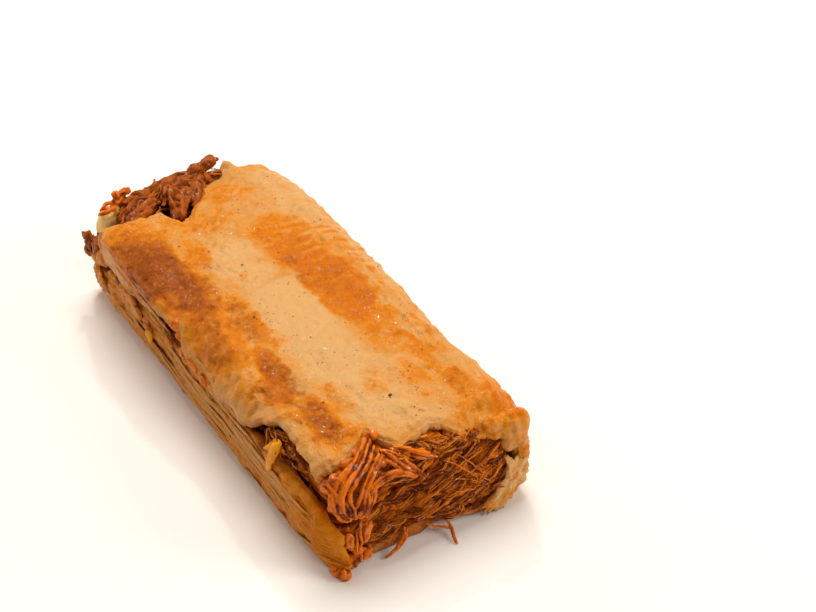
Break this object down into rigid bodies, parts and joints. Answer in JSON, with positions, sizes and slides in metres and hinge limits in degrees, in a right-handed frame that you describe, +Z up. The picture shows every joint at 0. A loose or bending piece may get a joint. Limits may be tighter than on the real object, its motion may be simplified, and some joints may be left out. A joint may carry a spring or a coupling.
{
  "type": "tamale",
  "caption": "Unwrapped tamale: an oblong roll of pale corn dough round shredded meat, torn open at both ends and along its side seam.",
  "frame": {"origin": "middle of the base, on the surface that the tamale rests on", "axes": "+Y along the roll, towards its closed, notched end; the open end with the meat faces -Y; the seam is on the -X side; +Z up"},
  "size_m": [0.0578, 0.1314, 0.0304],
  "materials": {
    "masa": "moist steamed corn dough, pale with orange oil stains",
    "filling": "moist shredded meat in red sauce",
    "meat": "moist pulled meat",
    "meat_sauce": "meat wet with orange sauce",
    "yellow_masa": "oil-soaked yellow corn dough"
  },
  "bodies": {
    "root": {"masa": "masa", "filling": "filling", "back_meat": "meat", "notch_meat": "meat", "corner_meat": "meat", "side_meat": "meat", "meat_fold": "meat_sauce", "yellow_scrap": "yellow_masa", "loose_shred": "meat_sauce"}
  },
  "joints": []
}
